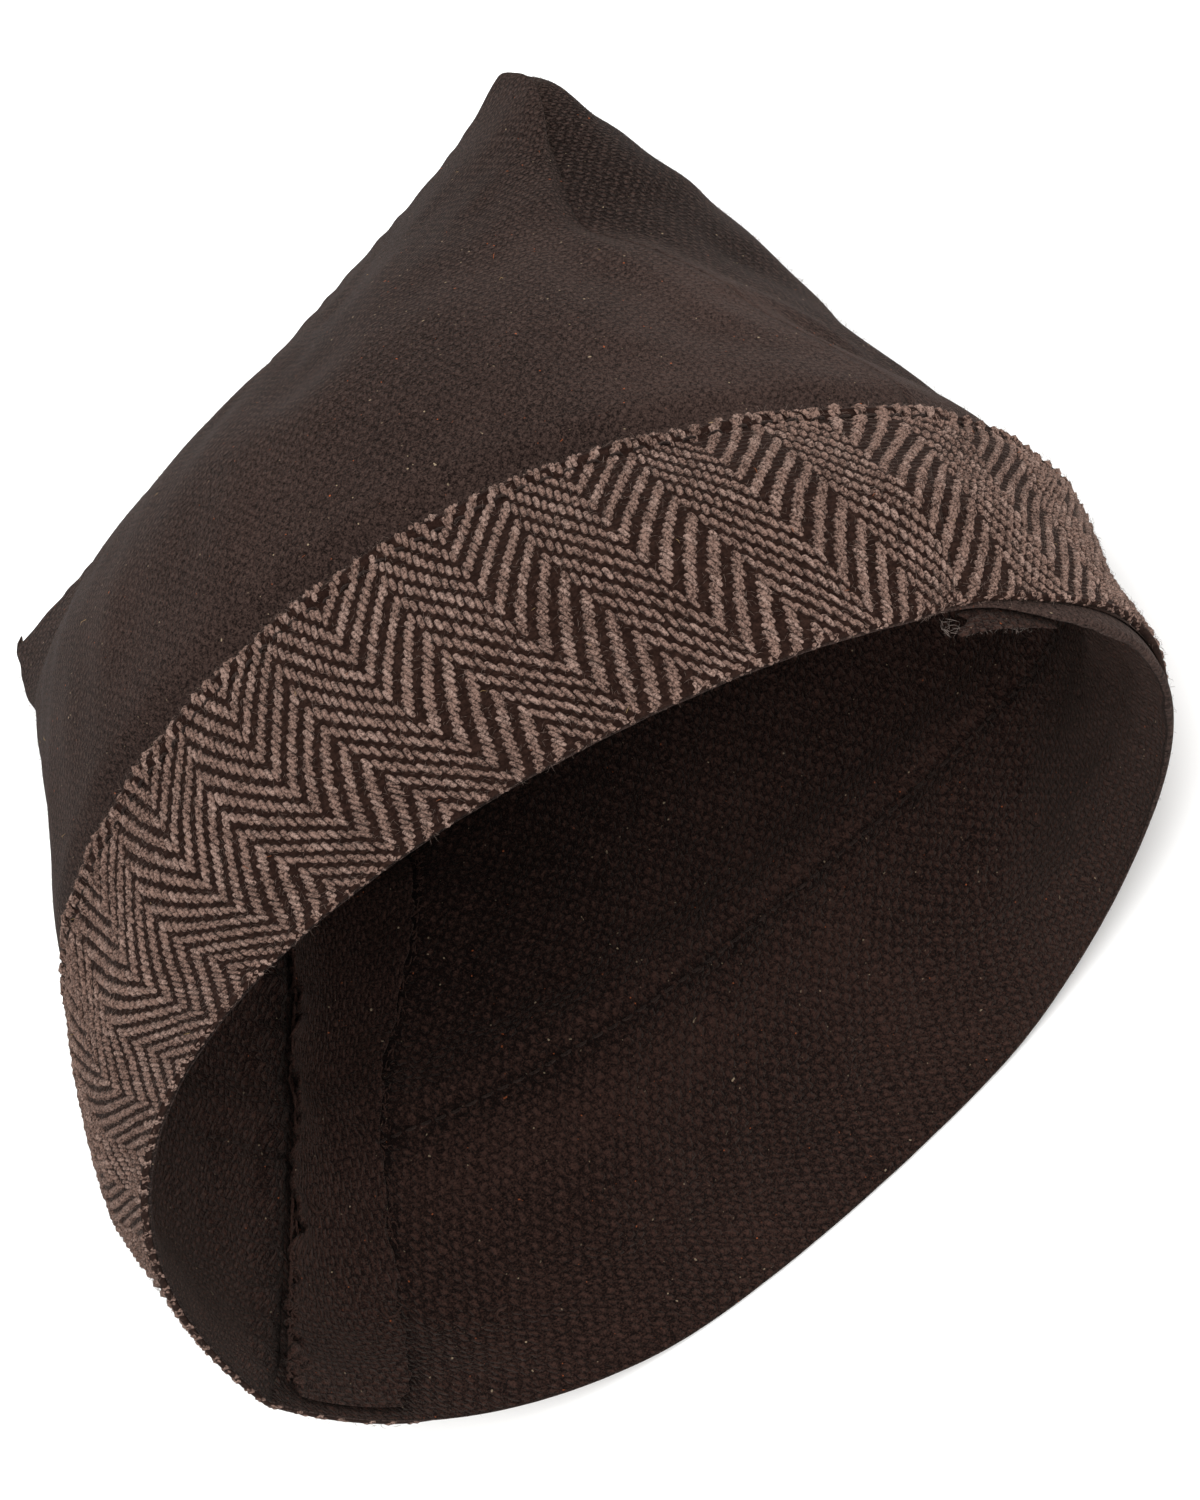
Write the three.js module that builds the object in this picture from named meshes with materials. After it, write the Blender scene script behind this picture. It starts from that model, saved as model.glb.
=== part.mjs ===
// Soft wool cap lying on its back panel: a flat bag of two cloth panels with a
// herringbone band round the outside of its rim. Millimetres, +Z up, resting on z = 0.
//
// The cap is described in its own worn frame first: x runs from the left side seam to the
// right one, -y is the front, +y the back, z rises from the rim to the top ridge.
// Each row of SECTIONS is one level loop made of a front arc and a back arc that meet at
// the two side seams. The whole cap is then laid on its back panel and the cloth that
// would sink below the surface is flattened on it.
import * as THREE from 'three';

// ---- driving dimensions (mm) -------------------------------------------------------------
const WALL = 2.0;            // thickness of the brown wool
const BAND_WALL = 2.0;       // thickness of the herringbone wool, turned edges pressed flat
const GAP = 0.3;             // gap left between neighbouring pieces
const BAND_TOP = 0.28;       // level of the band's upper edge, as a share of rim to ridge
const BAND_STEP = 0.035;     // share of the level over which the crown comes out from the band
const RIM_LIP = 0.8;         // how far the crown cloth shows below the band's lower edge
const ALLOWANCE_WALL = 1.4;  // thickness of a side seam's allowance
const SEAM_SPAN = 270;       // length along one arc, seam to seam, for measuring folds
const RISE_SPAN = 195;       // length along a panel, rim to ridge, for measuring folds
const INSET_LEAN = 1.12;     // level inset for 1 mm of cloth, for the walls' mean lean

// How the cap lies: its back turned down, rolled a little to one side, and settled.
const REST = { pitch: 19.4, roll: 10.9, settle: 8.0, bend: 3.0, floor: -82.7, centre_x: 5.86, centre_y: 60.53 };

// Level sections, rim first. z: height of the loop at the left and right seams. x, y: where
// the seams stand. front/back: how far each arc stands out, near the left and right seams.
// spread: how far each arc runs out past the seams before it turns.
const SECTION_COLUMNS = ['t', 'z_left', 'z_right', 'x_left', 'y_left', 'x_right', 'y_right',
  'front_left', 'front_right', 'back_left', 'back_right',
  'front_spread_left', 'front_spread_right', 'back_spread_left', 'back_spread_right'];
const SECTIONS = [
  [0, 0, 0, -104.1, -0.9, 102.6, -1.9, 118.1, 21.8, 111.5, 68.9, -69.1, 0.9, 22.3, 61.8],
  [0.14, 21, 25.4, -104.7, 9.4, 108.1, 2.4, 89.3, 68.6, 71.4, 100.6, -22.3, -12.1, 16.8, 17.1],
  [0.28, 50.4, 48.9, -89.8, 13.8, 105.4, 16.6, 67.3, 95.7, 38.4, 114.9, 8.9, -23.4, 11.8, 0.4],
  [0.45, 84, 83, -70.7, 15, 92.3, 0.5, 68.7, 82.7, 45.5, 77.2, 12, -16.3, 12.6, 16.4],
  [0.62, 109.6, 108.6, -72.1, 2.7, 81.5, -10.5, 55.9, 52.1, 55.9, 63.1, 7.9, -8.5, 20.2, 40.9],
  [0.78, 129.4, 128.5, -77.1, -3.8, 81, -8.3, 32.8, 25.6, 46.1, 43.8, -0.8, -5.1, 16.4, 27.8],
  [0.9, 144.9, 142.2, -83.1, -3.9, 82.6, -7.6, 12.3, 11.1, 24.6, 22.9, -3.6, -0.3, 7.8, 0.7],
  [1, 159.2, 149, -83.3, -1.3, 75.6, -6.7, 2.4, 2.4, 2.4, 2.4, 0, 0, 0, 0],
];

// Soft folds. s runs along an arc from the right seam (0) to the left seam (1), t from the
// rim (0) to the ridge (1). depth is out (+) or in (-), width is the fold's half width.
const FOLD_COLUMNS = ['panel', 's0', 't0', 's1', 't1', 'depth', 'width'];
const FOLDS = [
  ['both', 0.00, 0.00, 0.00, 0.10, 3.0, 13],     // the rim kept full at the right seam
  ['both', 0.00, 0.86, 0.00, 0.62, -3.0, 9],     // the right seam drawn in below its corner
  ['front', 0.33, 1.00, 0.30, 0.55, -2.4, 10],   // soft dent down from the ridge
  ['front', 0.02, 0.60, 0.02, 0.42, 1.2, 6],     // puckered seam edge above the band
  ['back', 0.98, 0.62, 0.80, 0.44, -2.5, 12],    // left side drawn in behind the seam
];

// Seam allowances, inside. s0..s1 across, and t from bottom to top, on the back panel.
const ALLOWANCE_COLUMNS = ['name', 's_seam', 's_edge_low', 's_edge_high', 't_low', 't_high'];
const ALLOWANCES = [
  ['left_seam_allowance', 0.995, 0.925, 0.775, 0.014, 0.62],
  ['right_seam_allowance', 0.006, 0.080, 0.070, 0.012, 0.60],
];

// grid of each piece: steps along the arc, steps from rim to ridge
const PANEL_GRID = [32, 22];
const BAND_GRID = [64, 7];
const ALLOWANCE_GRID = [4, 20];
const ROWS_UNDER_BAND = 7;   // panel rows that lie under the band

const COLOURS = { brown: 0x3a2e29, herringbone: 0x6d5c54 };

// ---- section tables ------------------------------------------------------------------------
const table = (columns, rows) => rows.map(r => Object.fromEntries(columns.map((c, i) => [c, r[i]])));
const sections = table(SECTION_COLUMNS, SECTIONS);
const folds = table(FOLD_COLUMNS, FOLDS);

// smooth curve through one column of the section table (cubic, with mean slopes at the rows)
function column(name, t) {
  const n = sections.length;
  const v = i => sections[i][name], x = i => sections[i].t;
  let k = 0;
  while (k < n - 2 && t >= x(k + 1)) k++;
  const slope = i => {
    if (i === 0) return (v(1) - v(0)) / (x(1) - x(0));
    if (i === n - 1) return (v(i) - v(i - 1)) / (x(i) - x(i - 1));
    const h0 = x(i) - x(i - 1), h1 = x(i + 1) - x(i);
    return ((v(i) - v(i - 1)) / h0 * h1 + (v(i + 1) - v(i)) / h1 * h0) / (h0 + h1);
  };
  const h = x(k + 1) - x(k), u = (t - x(k)) / h, u2 = u * u, u3 = u2 * u;
  return (2 * u3 - 3 * u2 + 1) * v(k) + (u3 - 2 * u2 + u) * h * slope(k)
    + (-2 * u3 + 3 * u2) * v(k + 1) + (u3 - u2) * h * slope(k + 1);
}

const smooth = u => { const c = Math.min(1, Math.max(0, u)); return c * c * (3 - 2 * c); };

// point of the worn cap on the front (-1) or back (+1) arc, 'depth' mm of cloth below the outside
function worn(side, s, t, depth) {
  const inset = depth * INSET_LEAN;
  const c = name => column(name, t);
  const arcs = side < 0 ? 'front' : 'back';
  const xl = c('x_left') + inset, xr = c('x_right') - inset;
  const yl = c('y_left'), yr = c('y_right');
  const keep = 0.3 + 0.04 * depth;
  const dl = Math.max(c(arcs + '_left') - inset, keep), dr = Math.max(c(arcs + '_right') - inset, keep);
  const sl = c(arcs + '_spread_left'), sr = c(arcs + '_spread_right');
  const b0 = (1 - s) ** 3, b1 = 3 * (1 - s) ** 2 * s, b2 = 3 * (1 - s) * s * s, b3 = s ** 3;
  const k = 4 / 3;
  let x = b0 * xr + b1 * (xr + sr) + b2 * (xl - sl) + b3 * xl;
  let y = b0 * yr + side * k * (b1 * dr + b2 * dl) + b3 * yl + side * GAP / 2;
  const z = c('z_left') + (c('z_right') - c('z_left')) * (x - xl) / (xr - xl);
  // folds push the wall level, away from or towards the section's middle
  const my = (yl + yr) / 2, r = Math.hypot(x, y - my) || 1;
  let push = 0;
  for (const f of folds) {
    if (f.panel === 'front' && side > 0) continue;
    if (f.panel === 'back' && side < 0) continue;
    const ax = f.s0 * SEAM_SPAN, ay = f.t0 * RISE_SPAN, bx = f.s1 * SEAM_SPAN, by = f.t1 * RISE_SPAN;
    const px = s * SEAM_SPAN, py = t * RISE_SPAN;
    const l2 = (bx - ax) ** 2 + (by - ay) ** 2;
    const u = Math.min(1, Math.max(0, ((px - ax) * (bx - ax) + (py - ay) * (by - ay)) / l2));
    const d = Math.hypot(px - ax - u * (bx - ax), py - ay - u * (by - ay));
    // a fold of one panel dies out at the seams, so that both edges stay together
    const hold = f.panel === 'both' ? 1 : smooth(Math.min(s, 1 - s) / 0.035);
    push += f.depth * Math.exp(-((d / f.width) ** 2)) * smooth((1 - t) / 0.12) * hold;
  }
  x += push * x / r;
  y += push * (y - my) / r;
  return new THREE.Vector3(x, y, z);
}

// ---- lying on the back panel ---------------------------------------------------------------
const pitch = THREE.MathUtils.degToRad(REST.pitch), roll = THREE.MathUtils.degToRad(REST.roll);
const up = new THREE.Vector3(Math.sin(roll), -Math.cos(roll) * Math.cos(pitch), -Math.cos(roll) * Math.sin(pitch));
const across = new THREE.Vector3(1, 0, 0).addScaledVector(up, -up.x).normalize();
const along = new THREE.Vector3().crossVectors(up, across);

// point on the resting cap; cloth never goes below its own place in the flattened stack
function laid(side, s, t, depth) {
  const p = worn(side, s, t, depth);
  const x = p.dot(across) - REST.centre_x, y = p.dot(along) - REST.centre_y, z = p.dot(up) - REST.floor;
  const h = z - depth, r = REST.bend;
  const lift = h <= -r ? 0 : h >= r ? h : (h + r) ** 2 / (4 * r);
  return new THREE.Vector3(x, y, depth + lift);
}

// ---- closed shells from a grid of outer and inner points ------------------------------------
function shell(ni, nj, outer, inner, closedLoop) {
  const position = [], index = [];
  const id = (layer, i, j) => layer * (ni + 1) * (nj + 1) + j * (ni + 1) + i;
  for (const f of [outer, inner]) {
    for (let j = 0; j <= nj; j++) for (let i = 0; i <= ni; i++) position.push(...f(i / ni, j / nj).toArray());
  }
  const quad = (a, b, c, d) => index.push(a, b, c, a, c, d);
  for (let j = 0; j < nj; j++) for (let i = 0; i < ni; i++) {
    quad(id(0, i, j), id(0, i + 1, j), id(0, i + 1, j + 1), id(0, i, j + 1));
    quad(id(1, i, j), id(1, i, j + 1), id(1, i + 1, j + 1), id(1, i + 1, j));
  }
  for (let i = 0; i < ni; i++) {
    quad(id(0, i, 0), id(1, i, 0), id(1, i + 1, 0), id(0, i + 1, 0));
    quad(id(0, i, nj), id(0, i + 1, nj), id(1, i + 1, nj), id(1, i, nj));
  }
  for (let j = 0; j < nj; j++) {
    quad(id(0, 0, j), id(0, 0, j + 1), id(1, 0, j + 1), id(1, 0, j));
    quad(id(0, ni, j), id(1, ni, j), id(1, ni, j + 1), id(0, ni, j + 1));
  }
  // faces point out: the signed volume is positive
  let volume = 0;
  const v = i => new THREE.Vector3(position[3 * i], position[3 * i + 1], position[3 * i + 2]);
  for (let q = 0; q < index.length; q += 3) volume += v(index[q]).dot(v(index[q + 1]).cross(v(index[q + 2])));
  if (volume < 0) for (let q = 0; q < index.length; q += 3) [index[q + 1], index[q + 2]] = [index[q + 2], index[q + 1]];
  const g = new THREE.BufferGeometry();
  g.setAttribute('position', new THREE.Float32BufferAttribute(position, 3));
  g.setIndex(index);
  g.computeVertexNormals();
  return g;
}

// the crown's outer face lies under the band near the rim and comes out above it
function crownDepth(t) {
  return (BAND_WALL + GAP) * (1 - smooth((t - BAND_TOP - 0.008) / BAND_STEP));
}

// panel rows: one at the band's upper edge, one where the crown has come out from under it
function panelLevel(j, nj) {
  const low = BAND_TOP + 0.008, high = low + BAND_STEP;
  if (j <= ROWS_UNDER_BAND) return low * j / ROWS_UNDER_BAND;
  return high + (1 - high) * (j - ROWS_UNDER_BAND - 1) / (nj - ROWS_UNDER_BAND - 1);
}

function crownPanel(side) {
  const [ni, nj] = PANEL_GRID;
  const level = v => panelLevel(Math.round(v * nj), nj);
  return shell(ni, nj,
    (s, v) => laid(side, s, level(v), crownDepth(level(v))),
    (s, v) => laid(side, s, level(v), crownDepth(level(v)) + WALL));
}

// the band starts and ends at the right seam: step i runs round the front and then the back,
// on the same rows and steps as the panels under it, so that their facets lie parallel
function bandPoint(i, j, depth) {
  const [ni, nj] = BAND_GRID;
  const end = GAP / 2 / SEAM_SPAN;
  const w = Math.min(2 - end, Math.max(end, 2 * i / ni));
  const t = Math.min(BAND_TOP, Math.max(RIM_LIP / RISE_SPAN, panelLevel(j, PANEL_GRID[1])));
  return w <= 1 ? laid(-1, w, t, depth) : laid(1, 2 - w, t, depth);
}

function band() {
  const [ni, nj] = BAND_GRID;
  const at = depth => (u, v) => bandPoint(Math.round(u * ni), Math.round(v * nj), depth);
  return shell(ni, nj, at(0), at(BAND_WALL));
}

function allowance(a) {
  const [ni, nj] = ALLOWANCE_GRID;
  const at = (u, v, extra) => {
    const t = a.t_low + v * (a.t_high - a.t_low);
    const edge = a.s_edge_low + v * (a.s_edge_high - a.s_edge_low);
    return laid(1, a.s_seam + u * (edge - a.s_seam), t, crownDepth(t) + WALL + GAP * 3 + extra);
  };
  return shell(ni, nj, (u, v) => at(u, v, 0), (u, v) => at(u, v, ALLOWANCE_WALL));
}

// ---- the pieces ------------------------------------------------------------------------------
const cap = new THREE.Group();
cap.name = 'wool_cap';
function piece(name, geometry, colour) {
  const mesh = new THREE.Mesh(geometry, new THREE.MeshStandardMaterial({ color: colour, roughness: 0.95, metalness: 0 }));
  mesh.name = name;
  cap.add(mesh);
}
piece('crown_front_panel', crownPanel(-1), COLOURS.brown);
piece('crown_back_panel', crownPanel(1), COLOURS.brown);
piece('herringbone_band', band(), COLOURS.herringbone);
for (const a of table(ALLOWANCE_COLUMNS, ALLOWANCES)) piece(a.name, allowance(a), COLOURS.brown);

export default cap;
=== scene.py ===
import math
import bpy
import numpy as np
from mathutils import Matrix, Vector


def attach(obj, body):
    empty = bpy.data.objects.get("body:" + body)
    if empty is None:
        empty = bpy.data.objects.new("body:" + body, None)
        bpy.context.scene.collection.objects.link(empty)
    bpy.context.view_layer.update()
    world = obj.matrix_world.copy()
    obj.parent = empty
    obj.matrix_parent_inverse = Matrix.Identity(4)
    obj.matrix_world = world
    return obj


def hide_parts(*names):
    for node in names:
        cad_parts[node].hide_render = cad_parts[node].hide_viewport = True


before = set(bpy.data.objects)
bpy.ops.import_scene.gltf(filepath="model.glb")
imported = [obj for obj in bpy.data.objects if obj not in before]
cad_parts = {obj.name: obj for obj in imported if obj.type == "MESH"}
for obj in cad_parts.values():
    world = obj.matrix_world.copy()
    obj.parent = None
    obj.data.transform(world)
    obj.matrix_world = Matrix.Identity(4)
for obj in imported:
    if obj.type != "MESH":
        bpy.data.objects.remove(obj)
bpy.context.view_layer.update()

# =============================================================================================
# The cap's form, in millimetres: the same level sections, folds and resting pose as the solids
# =============================================================================================
WALL, BAND_WALL, GAP = 2.0, 2.0, 0.3
BAND_TOP, BAND_STEP, RIM_LIP = 0.28, 0.035, 0.8
SEAM_SPAN, RISE_SPAN, INSET_LEAN = 270.0, 195.0, 1.12
PITCH, ROLL, BEND, FLOOR = math.radians(19.4), math.radians(10.9), 3.0, -82.7
CENTRE_X, CENTRE_Y = 5.86, 60.53

COLUMNS = ["t", "z_left", "z_right", "x_left", "y_left", "x_right", "y_right",
           "front_left", "front_right", "back_left", "back_right",
           "front_spread_left", "front_spread_right", "back_spread_left", "back_spread_right"]
SECTIONS = np.array([
    [0, 0, 0, -104.1, -0.9, 102.6, -1.9, 118.1, 21.8, 111.5, 68.9, -69.1, 0.9, 22.3, 61.8],
    [0.14, 21, 25.4, -104.7, 9.4, 108.1, 2.4, 89.3, 68.6, 71.4, 100.6, -22.3, -12.1, 16.8, 17.1],
    [0.28, 50.4, 48.9, -89.8, 13.8, 105.4, 16.6, 67.3, 95.7, 38.4, 114.9, 8.9, -23.4, 11.8, 0.4],
    [0.45, 84, 83, -70.7, 15, 92.3, 0.5, 68.7, 82.7, 45.5, 77.2, 12, -16.3, 12.6, 16.4],
    [0.62, 109.6, 108.6, -72.1, 2.7, 81.5, -10.5, 55.9, 52.1, 55.9, 63.1, 7.9, -8.5, 20.2, 40.9],
    [0.78, 129.4, 128.5, -77.1, -3.8, 81, -8.3, 32.8, 25.6, 46.1, 43.8, -0.8, -5.1, 16.4, 27.8],
    [0.9, 144.9, 142.2, -83.1, -3.9, 82.6, -7.6, 12.3, 11.1, 24.6, 22.9, -3.6, -0.3, 7.8, 0.7],
    [1, 159.2, 149, -83.3, -1.3, 75.6, -6.7, 2.4, 2.4, 2.4, 2.4, 0, 0, 0, 0],
])
# panel, s0, t0, s1, t1, depth, width
FOLDS = [
    ("both", 0.00, 0.00, 0.00, 0.10, 3.0, 13.0),
    ("both", 0.00, 0.86, 0.00, 0.62, -3.0, 9.0),
    ("front", 0.33, 1.00, 0.30, 0.55, -2.4, 10.0),
    ("front", 0.02, 0.60, 0.02, 0.42, 1.2, 6.0),
    ("back", 0.98, 0.62, 0.80, 0.44, -2.5, 12.0),
]
# finer folds of the cloth, too small for the solids
FINE_FOLDS = [
    ("both", 0.00, 0.60, 0.00, 0.47, 1.5, 4.5),     # soft crest along the right seam
    ("back", 0.012, 0.47, 0.06, 0.425, 1.4, 4.0),   # and on over the back
    ("back", 0.05, 0.66, 0.10, 0.52, -1.2, 9.0),    # hollow behind it
    ("back", 0.03, 0.395, 0.09, 0.375, -0.9, 5.0),
    ("front", 0.07, 0.56, 0.05, 0.40, -0.7, 7.0),
    ("front", 0.10, 0.40, 0.02, 0.31, 0.6, 5.0),
    ("front", 0.33, 0.86, 0.31, 0.51, -0.8, 5.0),
    ("front", 0.26, 0.80, 0.24, 0.60, 0.6, 6.0),
    ("front", 0.90, 0.70, 0.97, 0.86, -0.9, 7.0),
    ("front", 0.60, 0.95, 0.62, 0.70, 0.5, 8.0),
    ("front", 0.75, 0.42, 0.88, 0.52, 0.6, 8.0),
    ("back", 0.35, 0.60, 0.55, 0.45, 0.8, 9.0),
    ("back", 0.70, 0.20, 0.55, 0.30, 0.6, 6.0),
    ("back", 0.05, 0.40, 0.20, 0.19, -2.2, 17.0),   # the right shoulder, where the band's top lies
]


def smooth(u):
    c = np.clip(u, 0, 1)
    return c * c * (3 - 2 * c)


def column(name, t):
    v = SECTIONS[:, COLUMNS.index(name)]
    x = SECTIONS[:, 0]
    h = np.diff(x)
    slope = np.diff(v) / h
    tan = np.empty_like(v)
    tan[0], tan[-1] = slope[0], slope[-1]
    tan[1:-1] = (slope[:-1] * h[1:] + slope[1:] * h[:-1]) / (h[:-1] + h[1:])
    k = np.clip(np.searchsorted(x, t, side="right") - 1, 0, len(x) - 2)
    u = (t - x[k]) / h[k]
    u2, u3 = u * u, u * u * u
    return ((2 * u3 - 3 * u2 + 1) * v[k] + (u3 - 2 * u2 + u) * h[k] * tan[k]
            + (3 * u2 - 2 * u3) * v[k + 1] + (u3 - u2) * h[k] * tan[k + 1])


UP = np.array([math.sin(ROLL), -math.cos(ROLL) * math.cos(PITCH), -math.cos(ROLL) * math.sin(PITCH)])
ACROSS = np.array([1.0, 0, 0]) - UP * UP[0]
ACROSS /= np.linalg.norm(ACROSS)
ALONG = np.cross(UP, ACROSS)


def waves(a, b, size, seed, n=7):
    """Soft unevenness of the cloth: a sum of seeded waves about 'size' mm long, of unit height."""
    g = np.random.default_rng(seed)
    out = 0
    for _ in range(n):
        ang, ph = g.uniform(0, 2 * math.pi, 2)
        f = 2 * math.pi / (size * g.uniform(0.7, 1.5))
        out = out + np.sin((a * math.cos(ang) + b * math.sin(ang)) * f + ph)
    return out / math.sqrt(n / 2)


def surf(side, s, t, depth):
    """Points in metres, on the front (-1) or back (+1) arc. All arguments broadcast."""
    side, s, t, depth = (np.asarray(v, float) for v in np.broadcast_arrays(side, s, t, depth))
    t0 = t
    t = np.clip(t, 0, 1)
    inset = depth * INSET_LEAN
    front = side < 0

    def arc(a, w):
        return np.where(front, column("front" + a + w, t), column("back" + a + w, t))
    xl, xr = column("x_left", t) + inset, column("x_right", t) - inset
    yl, yr = column("y_left", t), column("y_right", t)
    keep = 0.3 + 0.04 * depth
    dl, dr = np.maximum(arc("_", "left") - inset, keep), np.maximum(arc("_", "right") - inset, keep)
    sl, sr = arc("_spread_", "left"), arc("_spread_", "right")
    b0, b1, b2, b3 = (1 - s) ** 3, 3 * (1 - s) ** 2 * s, 3 * (1 - s) * s * s, s ** 3
    k = 4 / 3
    x = b0 * xr + b1 * (xr + sr) + b2 * (xl - sl) + b3 * xl
    y = b0 * yr + side * k * (b1 * dr + b2 * dl) + b3 * yl + side * 0.03
    zl, zr = column("z_left", t), column("z_right", t)
    z = zl + (zr - zl) * (x - xl) / (xr - xl)
    z = z + (t0 - t) * RISE_SPAN            # cloth that runs on past the rim or the ridge
    m = s * 159.0 - 11.0                     # mm along the ridge: the turned corner stands up a little
    z = z + 3.9 * np.exp(-((m / np.where(m > 0, 19.0, 7.0)) ** 2)) * smooth((t - 0.87) / 0.13)
    z = z + 1.0 * np.exp(-((((1 - s) * SEAM_SPAN - 2.5) / 3.0) ** 2)) * smooth((t - 0.955) / 0.045)
    my = (yl + yr) / 2
    r = np.hypot(x, y - my) + 1e-9
    push = 0
    px, py = s * SEAM_SPAN, t * RISE_SPAN
    for panel, s0, f0, s1, f1, dep, wid in FOLDS + FINE_FOLDS:
        on = 1.0 if panel == "both" else np.where(front == (panel == "front"), 1.0, 0.0)
        ax, ay, bx, by = s0 * SEAM_SPAN, f0 * RISE_SPAN, s1 * SEAM_SPAN, f1 * RISE_SPAN
        l2 = (bx - ax) ** 2 + (by - ay) ** 2
        u = np.clip(((px - ax) * (bx - ax) + (py - ay) * (by - ay)) / l2, 0, 1)
        d = np.hypot(px - ax - u * (bx - ax), py - ay - u * (by - ay))
        hold = 1.0 if panel == "both" else smooth(np.minimum(s, 1 - s) / 0.035)
        push = push + on * dep * np.exp(-((d / wid) ** 2)) * smooth((1 - t) / 0.12) * hold
    soft = smooth(np.minimum(s, 1 - s) / 0.05) * smooth((1 - t) / 0.1) * smooth(t / 0.03)
    push = push + 0.22 * waves(px * side, py, 21, 5) * soft
    x = x + push * x / r
    y = y + push * (y - my) / r
    p = np.stack([x, y, z], -1)
    X, Y, Z = p @ ACROSS - CENTRE_X, p @ ALONG - CENTRE_Y, p @ UP - FLOOR
    h = Z - depth
    lift = np.where(h <= -BEND, 0, np.where(h >= BEND, h, (h + BEND) ** 2 / (4 * BEND)))
    return np.stack([X, Y, np.maximum(depth, 0) + lift + np.minimum(depth, 0) * smooth(lift / 2)], -1) / 1000


def rim_press(t):
    """Share of the full thickness that is left near the rim, where the edge is pressed flat."""
    return 0.50 + 0.50 * smooth(t * RISE_SPAN / 11)


def crown_depth(t):
    return (BAND_WALL * rim_press(t) + 0.1) * (1 - smooth((t - BAND_TOP - 0.008) / BAND_STEP))


# =============================================================================================
# Mesh helpers
# =============================================================================================
def add_mesh(name, verts, faces, mats, mat_index=None, uv=None, flat=False, painted_light_shade=None):
    me = bpy.data.meshes.new(name)
    verts = np.array(verts, np.float32)
    verts[:, 2] = np.maximum(verts[:, 2], 0.00002)      # nothing goes below the surface that it lies on
    faces = [np.asarray(f, np.int32) for f in (faces if isinstance(faces, list) else [faces]) if len(f)]
    loops = np.concatenate([f.ravel() for f in faces])
    sizes = np.concatenate([np.full(len(f), f.shape[1], np.int32) for f in faces])
    starts = np.concatenate([[0], np.cumsum(sizes)[:-1]]).astype(np.int32)
    me.vertices.add(len(verts)); me.vertices.foreach_set("co", verts.ravel())
    me.loops.add(len(loops)); me.loops.foreach_set("vertex_index", loops)
    me.polygons.add(len(sizes))
    me.polygons.foreach_set("loop_start", starts)
    me.polygons.foreach_set("loop_total", sizes)
    if mat_index is not None:
        me.polygons.foreach_set("material_index", np.asarray(mat_index, np.int32))
    me.polygons.foreach_set("use_smooth", np.full(len(sizes), not flat))
    if uv is not None:
        layer = me.uv_layers.new(name="cloth")
        layer.data.foreach_set("uv", np.asarray(uv, np.float32)[loops].ravel())
    # a point attribute of painted light and shade, which the wool material adds to its colour
    if painted_light_shade is not None:
        a = me.attributes.new("painted_light_shade", "FLOAT", "POINT")
        a.data.foreach_set("value", np.asarray(painted_light_shade, np.float32))
    me.update(calc_edges=True)
    me.validate()
    ob = bpy.data.objects.new(name, me)
    bpy.context.scene.collection.objects.link(ob)
    for m in mats:
        me.materials.append(m)
    return ob


def grid_faces(ni, nj, base=0, flip=False):
    """Quads of a grid with (nj + 1) rows of (ni + 1) points."""
    i, j = np.meshgrid(np.arange(ni), np.arange(nj))
    a = (base + j * (ni + 1) + i).ravel()
    q = np.stack([a, a + 1, a + ni + 2, a + ni + 1], -1)
    return q[:, ::-1] if flip else q


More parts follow.
